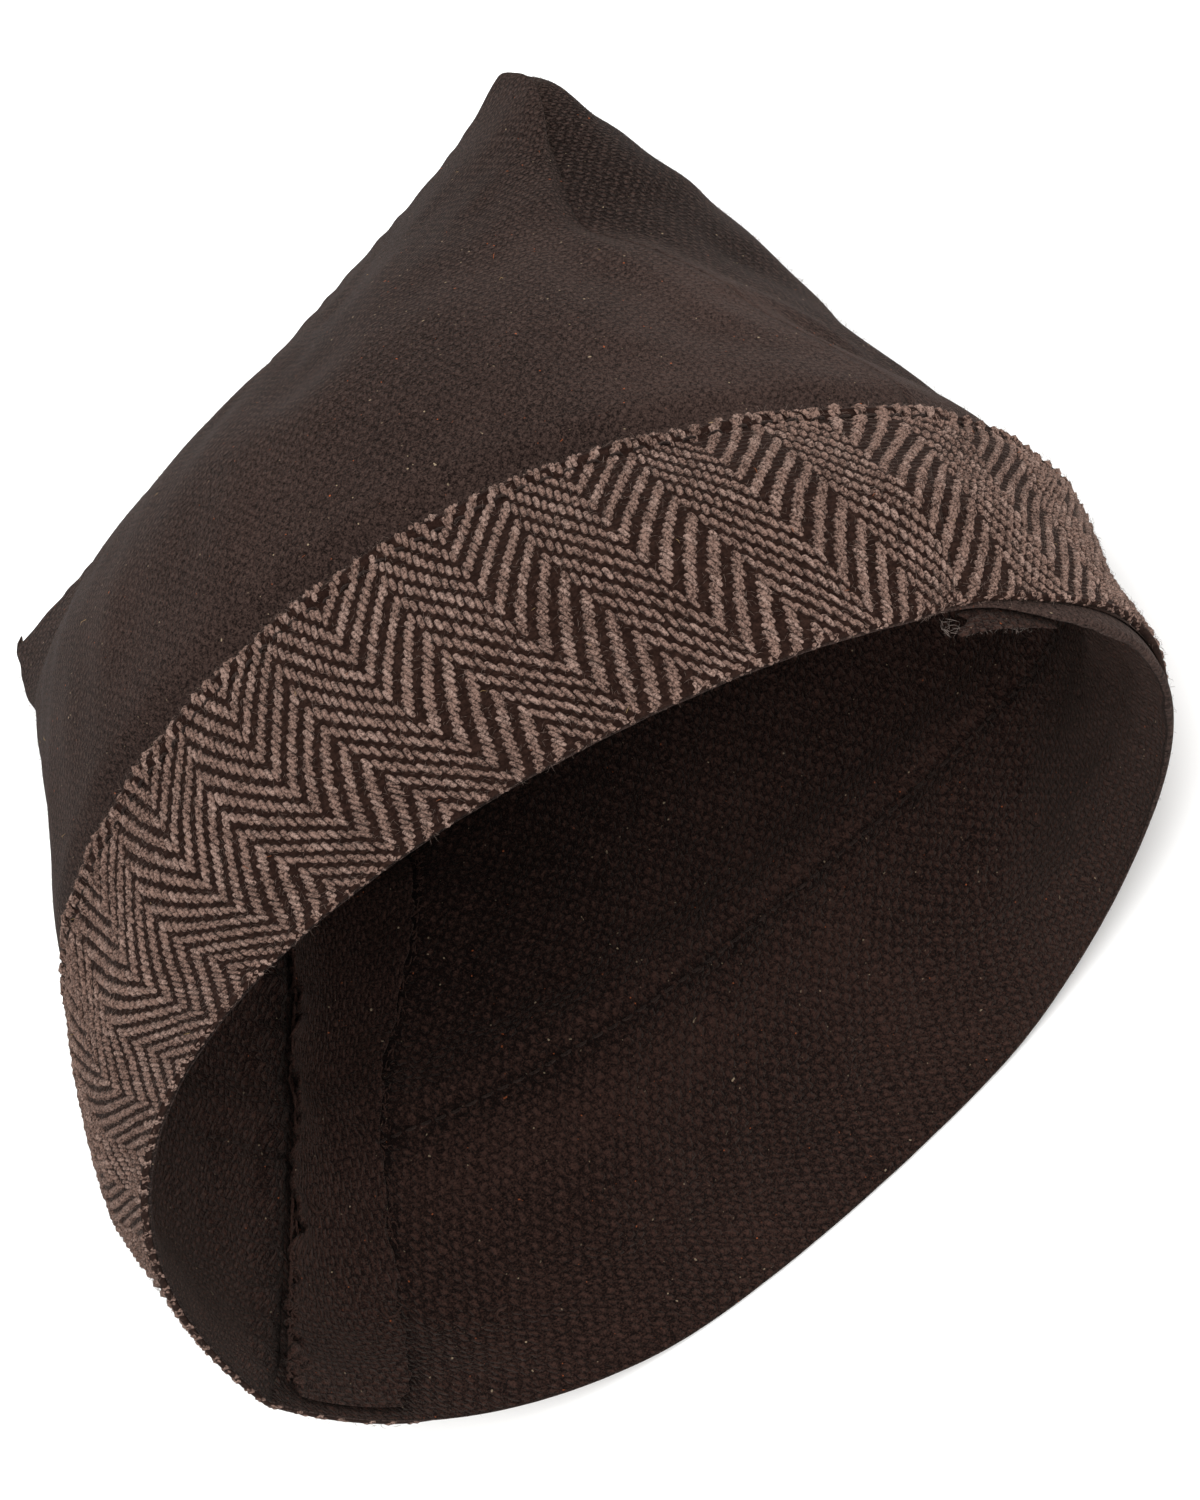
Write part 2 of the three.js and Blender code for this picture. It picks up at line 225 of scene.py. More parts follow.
def shell(name, outer, inner, uv_outer, uv_inner, mats, turn=3, round_by=0.45, only_rim=False, painted_light_shade=None):
    """A closed cloth shell. outer, inner: (nj+1, ni+1, 3). Its borders are rounded over."""
    nj, ni = outer.shape[0] - 1, outer.shape[1] - 1
    n = (ni + 1) * (nj + 1)
    idx = np.arange(n).reshape(nj + 1, ni + 1)
    ring = np.concatenate([idx[0, :-1], idx[:-1, -1], idx[-1, :0:-1], idx[:0:-1, 0]])
    near = np.concatenate([idx[1, :-1], idx[:-1, -2], idx[-2, :0:-1], idx[:0:-1, 1]])
    for corner, inside in ((0, idx[1, 1]), (ni, idx[1, -2]), (ni + nj, idx[-2, -2]), (2 * ni + nj, idx[-2, 1])):
        near[corner] = inside
    o, i = outer.reshape(-1, 3), inner.reshape(-1, 3)
    out = o[ring] - o[near]
    out /= np.linalg.norm(out, axis=1, keepdims=True) + 1e-12
    half = (o[ring] - i[ring]) / 2
    thick = np.linalg.norm(half, axis=1, keepdims=True)
    mid = (o[ring] + i[ring]) / 2
    bulge = np.ones(len(ring))
    if only_rim:                             # only the first row of points is a free edge
        bulge[:] = 0
        bulge[:ni + 1] = 1
    verts, uvs = [o, i], [uv_outer.reshape(-1, 2), uv_inner.reshape(-1, 2)]
    faces = [grid_faces(ni, nj), grid_faces(ni, nj, n, True)]
    m = len(ring)
    rows = [ring]
    for k in range(1, turn + 1):
        a = math.pi * k / (turn + 1)
        verts.append(mid + half * math.cos(a) + out * thick * math.sin(a) * round_by * 2 * bulge[:, None])
        uvs.append(uv_outer.reshape(-1, 2)[ring])
        rows.append(2 * n + (k - 1) * m + np.arange(m))
    rows.append(ring + n)
    edge = []
    for a, b in zip(rows[:-1], rows[1:]):
        edge.append(np.stack([np.roll(a, -1), a, b, np.roll(b, -1)], -1))
    edge = np.concatenate(edge)
    faces.append(edge)
    index = np.concatenate([np.zeros(ni * nj), np.ones(ni * nj), np.zeros(len(edge))])
    # painted light and shade per point: the outer face's values, the inner face's values, and the outer ones again
    # round the border
    if painted_light_shade is not None:
        w = painted_light_shade[0].ravel()
        painted_light_shade = np.concatenate([w, painted_light_shade[1].ravel()] + [w[ring]] * turn)
    return add_mesh(name, np.concatenate(verts), faces, mats, index, np.concatenate(uvs), painted_light_shade=painted_light_shade)


def normals_of(p, du, dv):
    n = np.cross(du, dv)
    return n / (np.linalg.norm(n, axis=-1, keepdims=True) + 1e-12)


def tubes(name, paths, radius, mats, sides=5, taper=1.0, flat=1.0, ups=None):
    """Many short threads as closed tubes. paths: (n, k, 3); radius: (n, k) or number."""
    n, k, _ = paths.shape
    r = np.broadcast_to(np.asarray(radius, float), (n, k)).copy()
    if taper != 1.0:
        u = np.linspace(-1, 1, k)
        r = r * (taper + (1 - taper) * np.sqrt(np.clip(1 - u ** 2, 0, 1)))[None]
    tan = np.gradient(paths, axis=1)
    tan /= np.linalg.norm(tan, axis=-1, keepdims=True) + 1e-12
    if ups is None:
        ups = np.zeros_like(paths) + np.array([0.31, 0.2, 0.93])
    elif ups.ndim == 2:
        ups = ups[:, None, :] + np.zeros_like(paths)
    a = np.cross(tan, ups)
    a /= np.linalg.norm(a, axis=-1, keepdims=True) + 1e-12
    b = np.cross(a, tan)
    ang = np.arange(sides) * 2 * math.pi / sides + 0.3
    ring = (paths[:, :, None, :] + r[:, :, None, None] * (np.cos(ang)[None, None, :, None] * a[:, :, None, :]
            + flat * np.sin(ang)[None, None, :, None] * b[:, :, None, :]))
    verts = ring.reshape(-1, 3)
    base = (np.arange(n) * k * sides)[:, None, None]
    j = (np.arange(k - 1) * sides)[None, :, None]
    c = np.arange(sides)[None, None, :]
    c2 = (c + 1) % sides
    q = np.stack(np.broadcast_arrays(base + j + c, base + j + c2, base + j + sides + c2, base + j + sides + c), -1)
    quads = q.reshape(-1, 4)
    cap0 = (np.arange(n) * k * sides)[:, None] + np.arange(sides)[::-1][None]
    cap1 = (np.arange(n) * k * sides + (k - 1) * sides)[:, None] + np.arange(sides)[None]
    return add_mesh(name, verts, [quads, cap0, cap1], mats)


def slivers(name, base, tip, bow, radius, mats, index=None):
    """Loose fibres: thin three-sided closed slivers from base to tip, bowed in between."""
    n = len(base)
    mid = (base + tip) / 2 + bow
    t = tip - base
    t /= np.linalg.norm(t, axis=1, keepdims=True) + 1e-12
    g = np.array([0.37, 0.61, 0.7])
    a = np.cross(t, g); a /= np.linalg.norm(a, axis=1, keepdims=True) + 1e-12
    b = np.cross(t, a)
    ang = np.arange(3) * 2 * math.pi / 3
    off = (np.cos(ang)[None, :, None] * a[:, None] + np.sin(ang)[None, :, None] * b[:, None])
    radius = np.broadcast_to(np.asarray(radius, float), (n,))[:, None, None]
    v = np.concatenate([base[:, None] + off * radius, mid[:, None] + off * radius * 0.85, tip[:, None]], 1)
    o = (np.arange(n) * 7)[:, None]
    tri = np.array([[0, 2, 1], [3, 4, 6], [4, 5, 6], [5, 3, 6]])
    quad = np.array([[0, 1, 4, 3], [1, 2, 5, 4], [2, 0, 3, 5]])
    T = (o[:, :, None] + tri[None]).reshape(-1, 3)
    Q = (o[:, :, None] + quad[None]).reshape(-1, 4)
    mi = None if index is None else np.concatenate([np.repeat(index, 4), np.repeat(index, 3)])
    return add_mesh(name, v.reshape(-1, 3), [T, Q], mats, mi)


# =============================================================================================
# Materials
# =============================================================================================
class Nodes:
    def __init__(self, name):
        self.m = bpy.data.materials.new(name)
        self.m.use_nodes = True
        self.t = self.m.node_tree
        self.t.nodes.clear()
        self.out = self.t.nodes.new("ShaderNodeOutputMaterial")
        self.bsdf = self.t.nodes.new("ShaderNodeBsdfPrincipled")
        self.t.links.new(self.bsdf.outputs[0], self.out.inputs[0])

    def put(self, sock, v):
        if isinstance(v, bpy.types.NodeSocket):
            self.t.links.new(v, sock)
        elif v is not None:
            sock.default_value = v

    def math(self, op, a, b=None, c=None, clamp=False):
        n = self.t.nodes.new("ShaderNodeMath"); n.operation = op; n.use_clamp = clamp
        for s, v in zip(n.inputs, (a, b, c)):
            self.put(s, v)
        return n.outputs[0]

    def noise(self, vec, scale, detail=2.0, rough=0.5, dist=0.0, color=False):
        n = self.t.nodes.new("ShaderNodeTexNoise")
        self.put(n.inputs["Vector"], vec)
        n.inputs["Scale"].default_value = scale
        n.inputs["Detail"].default_value = detail
        n.inputs["Roughness"].default_value = rough
        n.inputs["Distortion"].default_value = dist
        return n.outputs["Color" if color else "Fac"]

    def mix(self, f, a, b):
        n = self.t.nodes.new("ShaderNodeMix"); n.data_type = "RGBA"
        self.put(n.inputs[0], f)
        self.put(n.inputs[6], a if not isinstance(a, tuple) else (*a, 1))
        self.put(n.inputs[7], b if not isinstance(b, tuple) else (*b, 1))
        return n.outputs[2]

    def ramp(self, v, lo, hi):
        n = self.t.nodes.new("ShaderNodeMapRange")
        self.put(n.inputs[0], v)
        n.inputs[1].default_value, n.inputs[2].default_value = lo, hi
        return n.outputs[0]

    def uv(self):
        n = self.t.nodes.new("ShaderNodeUVMap"); n.uv_map = "cloth"
        return n.outputs[0]

    def value(self, name):
        n = self.t.nodes.new("ShaderNodeAttribute"); n.attribute_name = name
        return n.outputs["Fac"]

    def place(self):
        return self.t.nodes.new("ShaderNodeTexCoord").outputs["Object"]

    def split(self, v):
        n = self.t.nodes.new("ShaderNodeSeparateXYZ"); self.put(n.inputs[0], v)
        return n.outputs[0], n.outputs[1], n.outputs[2]

    def bump(self, h, dist, strength=1.0, normal=None):
        n = self.t.nodes.new("ShaderNodeBump")
        n.inputs["Strength"].default_value = strength
        n.inputs["Distance"].default_value = dist
        self.put(n.inputs["Height"], h)
        if normal is not None:
            self.put(n.inputs["Normal"], normal)
        return n.outputs[0]

    def finish(self, color, normal=None, rough=0.92, sheen=0.0, tint=(1, 1, 1), sheen_rough=0.5, spec=0.2):
        b = self.bsdf.inputs
        self.put(b["Base Color"], color if not isinstance(color, tuple) else (*color, 1))
        b["Roughness"].default_value = rough
        b["Specular IOR Level"].default_value = spec
        b["Sheen Weight"].default_value = sheen
        b["Sheen Roughness"].default_value = sheen_rough
        b["Sheen Tint"].default_value = (*tint, 1)
        if normal is not None:
            self.put(b["Normal"], normal)
        return self.m


LIT = 0.74      # all the cloth colours are given for a dimmer studio than the one below


def tuned(c):
    return tuple(v * LIT for v in c)


def tabby(name, dark, light, weave_bump, sheen, pitch_u=1.06, pitch_v=1.14, fuzz=0.5, flecks=True, wander=0.5,
          show=(60, 150, 0.3, 0.3), grain=1.0):
    """Plain-woven wool: a grid of yarn crossings, softened by fulling and loose fibre."""
    g = Nodes(name)
    uv, pos = g.uv(), g.place()
    u, v, _ = g.split(uv)
    wob = g.noise(uv, 0.30, 3.0, 0.65, color=True)
    wx, wy, _ = g.split(wob)
    u = g.math("ADD", u, g.math("MULTIPLY", g.math("SUBTRACT", wx, 0.5), wander * 3))
    v = g.math("ADD", v, g.math("MULTIPLY", g.math("SUBTRACT", wy, 0.5), wander * 3))
    cu = g.math("COSINE", g.math("MULTIPLY", u, math.pi / pitch_u))
    cv = g.math("COSINE", g.math("MULTIPLY", v, math.pi / pitch_v))
    both = g.math("MULTIPLY", cu, cv)
    up = g.math("MAXIMUM", both, 0.0)
    down = g.math("MAXIMUM", g.math("MULTIPLY", both, -1.0), 0.0)
    cell = g.math("ADD", g.math("POWER", up, 0.7), g.math("MULTIPLY", g.math("POWER", down, 0.8), 0.45))
    over = g.ramp(both, -0.25, 0.25)                      # warp over weft here, weft over warp there
    fibre = g.noise(pos, 2600, 3.0, 0.65)
    clump = g.noise(pos, 1300, 2.0, 0.6)
    fine = g.noise(pos, 4300, 2.0, 0.6)
    shown = g.math("ADD", g.math("MULTIPLY", g.ramp(v, show[0], show[1]), show[3] - show[2]), show[2])
    broad = g.noise(pos, 28, 3.0, 0.55)
    yarn = g.noise(uv, 0.8, 1.0, 0.5)
    relief = g.math("MULTIPLY", cell, g.math("ADD", g.math("MULTIPLY", shown, 0.55), 0.42))
    h = g.math("ADD", g.math("MULTIPLY", relief, 1.0), g.math("MULTIPLY", g.math("ADD", fibre, clump), fuzz))
    f = g.math("ADD", g.math("MULTIPLY", g.math("SUBTRACT", cell, 0.4), shown), g.math("MULTIPLY", g.math("SUBTRACT", clump, 0.5), 1.1 * grain))
    f = g.math("ADD", g.math("ADD", f, 0.45), g.math("MULTIPLY", g.math("SUBTRACT", fibre, 0.5), 2.0 * grain))
    f = g.math("ADD", f, g.math("MULTIPLY", g.math("SUBTRACT", fine, 0.5), 1.7 * grain))
    f = g.math("ADD", f, g.math("MULTIPLY", g.math("SUBTRACT", over, 0.5), 0.16))
    f = g.math("ADD", f, g.math("MULTIPLY", g.math("SUBTRACT", broad, 0.5), 0.55))
    f = g.math("ADD", f, g.math("MULTIPLY", g.math("SUBTRACT", yarn, 0.5), 0.35))
    # painted light and shade from the point attribute: lighter on crests and lit edges, darker in hollows and creases
    f = g.math("ADD", f, g.value("painted_light_shade"), None, True)
    col = g.mix(f, tuned(dark), tuned(light))
    if flecks:
        spot = g.noise(pos, 1500, 0.0, 0.5)
        hue = g.noise(pos, 260, 0.0, 0.5)
        rust = g.ramp(spot, 0.835, 0.87)
        col = g.mix(g.math("MULTIPLY", rust, g.ramp(hue, 0.5, 0.6)), col, (0.21, 0.055, 0.02))
        pale = g.ramp(spot, 0.185, 0.15)
        col = g.mix(g.math("MULTIPLY", pale, g.ramp(hue, 0.48, 0.38)), col, (0.20, 0.15, 0.10))
    nrm = g.bump(h, weave_bump)
    return g.finish(col, nrm, 0.95, sheen, (0.95, 0.78, 0.68), 0.42, 0.06)


CROWN_DARK, CROWN_LIGHT = (0.0062, 0.0032, 0.0025), (0.0560, 0.0342, 0.0282)
crown_out = tabby("brown_wool_outside", CROWN_DARK, CROWN_LIGHT, 0.00042, 0.022, 1.02, 1.16, fuzz=0.6, wander=0.8,
                  show=(85, 150, 0.18, 0.80))
crown_in = tabby("brown_wool_inside", (0.0050, 0.0022, 0.0017), (0.0500, 0.0248, 0.0190), 0.00085, 0.04, 1.35, 1.45, fuzz=0.45,
                 wander=1.0, show=(560, 640, 0.55, 0.45))


def herring_ground():
    """The dark wool between the light floats: ribs along the band, with light fluff over them."""
    g = Nodes("herringbone_ground")
    uv, pos = g.uv(), g.place()
    u, v, _ = g.split(uv)
    rib = g.math("ABSOLUTE", g.math("COSINE", g.math("MULTIPLY", v, math.pi / 1.35)))
    wave = g.math("ABSOLUTE", g.math("COSINE", g.math("MULTIPLY", u, math.pi / 1.76)))
    fibre = g.noise(pos, 2400, 3.0, 0.65)
    clump = g.noise(pos, 700, 2.0, 0.6)
    f = g.math("ADD", g.math("MULTIPLY", rib, 0.10), g.math("MULTIPLY", g.math("SUBTRACT", fibre, 0.42), 1.6))
    f = g.math("ADD", f, g.math("MULTIPLY", g.math("SUBTRACT", clump, 0.5), 1.2), None, True)
    col = g.mix(f, tuned((0.0104, 0.0046, 0.0033)), tuned((0.0385, 0.0196, 0.0146)))
    h = g.math("ADD", g.math("MULTIPLY", rib, g.math("ADD", g.math("MULTIPLY", wave, 0.4), 0.6)), g.math("MULTIPLY", fibre, 0.6))
    return g.finish(col, g.bump(h, 0.00016), 0.95, 0.03, (0.9, 0.7, 0.6), 0.45, 0.04)


def herring_light(name, dark, light, sheen=0.25):
    """The light taupe yarn: strands that twist along it, with paler and darker hairs."""
    g = Nodes(name)
    pos = g.place()
    fibre = g.noise(pos, 2500, 3.0, 0.75)
    clump = g.noise(pos, 900, 2.0, 0.6)
    broad = g.noise(pos, 40, 2.0, 0.5)
    f = g.math("ADD", 0.52, g.math("MULTIPLY", g.math("SUBTRACT", fibre, 0.5), 4.6))
    f = g.math("ADD", f, g.math("MULTIPLY", g.math("SUBTRACT", clump, 0.5), 1.2))
    f = g.math("ADD", f, g.math("MULTIPLY", g.math("SUBTRACT", broad, 0.5), 0.5), None, True)
    col = g.mix(f, tuned(dark), tuned(light))
    return g.finish(col, g.bump(fibre, 0.00025), 0.95, sheen, (0.95, 0.82, 0.74), 0.45, 0.06)


band_ground = herring_ground()
band_light = herring_light("herringbone_light_yarn", (0.021, 0.0098, 0.0070), (0.262, 0.166, 0.133), 0.035)
band_light_pale = herring_light("herringbone_pale_yarn", (0.034, 0.0180, 0.0135), (0.335, 0.224, 0.184), 0.035)
thread_dark = herring_light("sewing_thread", (0.010, 0.006, 0.005), (0.035, 0.022, 0.018), 0.05)
fibre_crown = herring_light("loose_brown_fibre", (0.044, 0.028, 0.022), (0.112, 0.076, 0.061), 0.05)
fibre_band = herring_light("loose_taupe_fibre", (0.09, 0.062, 0.050), (0.26, 0.190, 0.160), 0.06)
fibre_rust = herring_light("loose_rust_fibre", (0.20, 0.05, 0.018), (0.36, 0.11, 0.035), 0.1)
fibre_gold = herring_light("loose_gold_fibre", (0.20, 0.12, 0.05), (0.40, 0.27, 0.12), 0.1)
frayed = herring_light("frayed_yarn", (0.05, 0.034, 0.028), (0.21, 0.165, 0.145), 0.2)


# =============================================================================================
# Crown panels
# =============================================================================================
NI, NJ = 192, 126


def panel_maps(side):
    """Grid of the panel and its cloth coordinates in mm: across from the middle, up from the rim."""
    s = np.linspace(0, 1, NI + 1)
    t = np.concatenate([[0, 0.003], np.linspace(0.008, 0.985, NJ - 4), [0.9905, 0.9955, 1.0]])
    S, T = np.meshgrid(s, t)
    p = surf(side, S, T, 0.0) * 1000
    du = np.linalg.norm(np.diff(p, axis=1), axis=2)
    u = np.concatenate([np.zeros((NJ + 1, 1)), np.cumsum(du, axis=1)], 1)
    u = u - u[:, [NI // 2]]
    dv = np.linalg.norm(np.diff(p[:, NI // 2], axis=0), axis=1)
    v = np.concatenate([[0], np.cumsum(dv)])[:, None] + np.zeros_like(u)
    return S, T, u, v


def seam_draw(side, S, T, U):
    """How far the cloth turns in at the side seams and the ridge, in mm."""
    d_right = U[:, [0]] * -1 + U          # mm from the right seam
    d_left = U[:, [-1]] - U
    d = np.minimum(d_right, d_left)
    groove = 0.55 * np.exp(-((d / 1.0) ** 2)) * smooth((T - 0.70) / 0.15)
    groove = groove + 0.30 * np.exp(-((d_left / 1.0) ** 2)) * smooth((T - 0.3) / 0.1)
    pucker = 0.07 * np.sin(T * RISE_SPAN * 2 * math.pi / 6.5 + 1.3 * np.sin(T * 31)) * np.exp(-((d / 3.2) ** 2))
    top = (1 - T) * RISE_SPAN
    x = np.clip(1 - top / 2.0, 0, 1)
    rounded = 1.9 * (1 - np.sqrt(1 - 0.98 * x * x))      # the cloth turns in over the ridge
    ridge = 0.25 * np.sin(U * 2 * math.pi / 7.5 + np.sin(U * 0.31)) * np.exp(-((top / 3.5) ** 2))
    return groove - pucker * smooth((T - 0.3) / 0.05) - ridge + rounded


# painted light and shade on the crown's outside, added to the cloth colour: painted highlight along the crest beside
# the right seam and over the cloth below it, along the ridge and the left seam, and on the rim edge at the right;
# painted shade in the valley right of the seam and under the band at the front rim: panel, s0, t0, s1, t1, amount,
# width in mm
PAINTED_LIGHT_OUTSIDE = [
    ("both", 0.00, 0.62, 0.00, 0.45, 0.13, 5.0),
    ("both", 0.00, 0.45, 0.00, 0.30, 0.20, 10.0),
    ("front", 0.40, 0.00, 1.00, 0.00, -0.30, 3.0),
    ("both", 0.00, 0.00, 0.18, 0.00, 0.15, 3.0),
    ("front", 0.02, 0.42, 0.10, 0.33, 0.08, 12.0),
    ("back", 0.02, 0.42, 0.05, 0.32, 0.10, 10.0),
    ("front", 0.08, 0.60, 0.20, 0.55, 0.05, 9.0),
    ("back", 0.06, 0.92, 0.08, 0.58, -0.26, 15.0),
    ("back", 0.01, 0.84, 0.02, 0.62, -0.14, 5.0),
    ("front", 0.05, 0.96, 0.95, 0.97, 0.06, 5.0),
    ("front", 0.97, 0.90, 0.97, 0.30, 0.06, 8.0),
]


# painted light and shade for the inside: painted shade along the left seam's crease, beside the allowance's edge, in
# the groove of the row of stitches and over a broad patch of the back panel; painted light near the right seam and the
# right rim, on a stripe below the stitches and on the bead above them
PAINTED_LIGHT_INSIDE = [
    ("both", 1.00, 0.00, 1.00, 0.62, -0.26, 4.0),
    ("both", 0.00, 0.05, 0.00, 0.45, 0.26, 38.0),
    ("back", 0.85, 0.40, 0.60, 0.60, -0.18, 40.0),
    ("back", 0.921, 0.014, 0.771, 0.62, -0.42, 1.5),
    ("back", 0.925, 0.014, 0.775, 0.62, -0.12, 4.5),
    ("back", 0.02, 0.06, 0.20, 0.10, 0.20, 30.0),
    ("back", 0.90, 0.225, 0.52, 0.21, 0.16, 6.0),
    ("back", 0.02, 0.262, 0.98, 0.262, -0.26, 1.1),
    ("back", 0.02, 0.273, 0.98, 0.273, 0.14, 1.2),
]


# sum of a table's painted light and shade at each point of a panel
def painted_light_field(side, S, T, table=None):
    out = np.zeros_like(S)
    x, y = S * SEAM_SPAN, T * RISE_SPAN
    for panel, s0, t0, s1, t1, amount, wide in (PAINTED_LIGHT_OUTSIDE if table is None else table):
        if panel != "both" and (panel == "front") != (side < 0):
            continue
        ax, ay, bx, by = s0 * SEAM_SPAN, t0 * RISE_SPAN, s1 * SEAM_SPAN, t1 * RISE_SPAN
        u = np.clip(((x - ax) * (bx - ax) + (y - ay) * (by - ay)) / ((bx - ax) ** 2 + (by - ay) ** 2), 0, 1)
        out = out + amount * np.exp(-((np.hypot(x - ax - u * (bx - ax), y - ay - u * (by - ay)) / wide) ** 2))
    return out


def outer_face(side):
    S, T, U, V = panel_maps(side)
    drop = 0.0 if side < 0 else 2.9 * smooth(S / 0.07) * (1 - smooth((S - 0.17) / 0.22)) * smooth(1 - T * RISE_SPAN / 14)
    return surf(side, S, T - drop / RISE_SPAN, crown_depth(T) + seam_draw(side, S, T, U))


# the panels' edges are sewn to each other: both take the same line along the ridge and the side seams
BOTH_FACES = {side: outer_face(side) for side in (-1.0, 1.0)}
SEWN_LINE = (BOTH_FACES[-1.0] + BOTH_FACES[1.0]) / 2


def sewn(p):
    p[-1], p[:, 0], p[:, -1] = SEWN_LINE[-1], SEWN_LINE[:, 0], SEWN_LINE[:, -1]
    return p


def make_panel(name, side):
    S, T, U, V = panel_maps(side)
    inner_extra = 1.05 * np.exp(-(((T - 0.262) * RISE_SPAN / 1.7) ** 2)) * (0.6 + 0.4 * np.sin(U * 2 * math.pi / 3.4))
    hem = (0.55 * smooth((S - 0.05) / 0.06) * (1 - smooth((S - 0.24) / 0.2))) if side > 0 else 0.0 * S
    thin = 0.22 + hem + (0.78 - hem) * smooth(T * RISE_SPAN / 18)
    din = crown_depth(T) + WALL * thin - (0.16 * waves(U, V, 9, 11) + 0.10 * waves(U, V, 3.5, 12)) * thin
    drop = 0.0 if side < 0 else 2.9 * smooth(S / 0.07) * (1 - smooth((S - 0.17) / 0.22)) * smooth(1 - T * RISE_SPAN / 14)
    outer = sewn(BOTH_FACES[float(side)].copy())
    if side < 0:                             # lumps of the seam's edge, under the cloth beside it
        near = np.exp(-((((1 - S) * SEAM_SPAN - 4.0) / 3.0) ** 2)) * (1 - smooth((T - 0.55) / 0.1))
        din = din + 3.0 * near * np.clip(waves(V, U * 0.3, 6.0, 31), -0.1, 0.5) * thin
    inner = surf(side, S, np.minimum(T, 0.981) - drop / RISE_SPAN, din - inner_extra * 0.8)
    uv = np.stack([U, V], -1)
    # painted light and shade for the outer and the inner face
    w = np.stack([painted_light_field(side, S, T), painted_light_field(side, S, T, PAINTED_LIGHT_INSIDE) * (1 + 0.3 * waves(U, V, 4.0, 21))])
    if side > 0:
        outer, inner, uv, w = outer[:, ::-1], inner[:, ::-1], uv[:, ::-1], w[:, :, ::-1]
    return shell(name, outer, inner, uv, uv + 500, [crown_out, crown_in], only_rim=True, painted_light_shade=w)


front = make_panel("crown_front_cloth", -1)
back = make_panel("crown_back_cloth", +1)

# =============================================================================================
# Herringbone band: dark ground cloth with a light yarn float at each place that it shows
# =============================================================================================
NW = 900
W = np.linspace(0.0001, 2 - 0.0001, NW + 1)


def side_s(w):
    return np.where(w <= 1, -1.0, 1.0), np.where(w <= 1, w, 2 - w)


T_LOW, T_TOP = 0.15 / RISE_SPAN, BAND_TOP
WIDTH = 56.0
_sd, _s = side_s(W)
_mid = surf(_sd, _s, (T_LOW + T_TOP) / 2, 0.0) * 1000
LEN = np.concatenate([[0], np.cumsum(np.linalg.norm(np.diff(_mid, axis=0), axis=1))])
BAND_LENGTH = LEN[-1]


def w_at(u):
    return np.interp(u, LEN, W)


def _lean_table():
    """How far the herringbone's columns lean along the band, in mm per mm of its width, from the section
    lines that the surface is made of. The cloth was sewn on a little skew, more so to the left."""
    lv = (T_TOP - T_LOW) / WIDTH
    e = 1e-3
    wq = np.linspace(0.01, 1.99, 200)
    (sd, s), (sd2, s2) = side_s(wq), side_s(wq + e)
    tm = (T_LOW + T_TOP) / 2
    p = surf(sd, s, tm, 0.0)
    tu = surf(sd2, s2, tm, 0.0) - p
    tu /= np.linalg.norm(tu, axis=1, keepdims=True)
    tv = (surf(sd, s, tm + e, 0.0) - p) / e * lv
    skew = np.sum(tv * tu, axis=1) * 1000
    um = np.interp(wq, W, LEN)
    back = -0.6 * skew
    sewn = np.interp(um, [0, 8, 20, 33, 45, 68, 92, 117, 141, 200], [0.40, 0.36, 0.20, 0.08, -0.06, -0.22, -0.27, -0.31, -0.34, -0.34])
    m = smooth((um - 200) / 50)
    lean = sewn * (1 - m) + back * m
    end = smooth((um - BAND_LENGTH + 110) / 60)
    lean = lean * (1 - end) + end * np.interp(um - BAND_LENGTH, [-60, -14, 0], [0.45, 0.50, 0.40])
    k = np.ones(9) / 9
    pad = np.concatenate([lean[-4:], lean, lean[:4]])
    return um, np.convolve(pad, k, "valid")


LEAN_U, LEAN = _lean_table()


def on_band(u, v):
    """Where cloth point (u, v) lies along the section lines: u follows the yarns across the band."""
    return (u + np.interp(u % BAND_LENGTH, LEAN_U, LEAN) * (v - WIDTH / 2)) % BAND_LENGTH


EDGE_R, EDGE_LOW = 1.15, 0.62


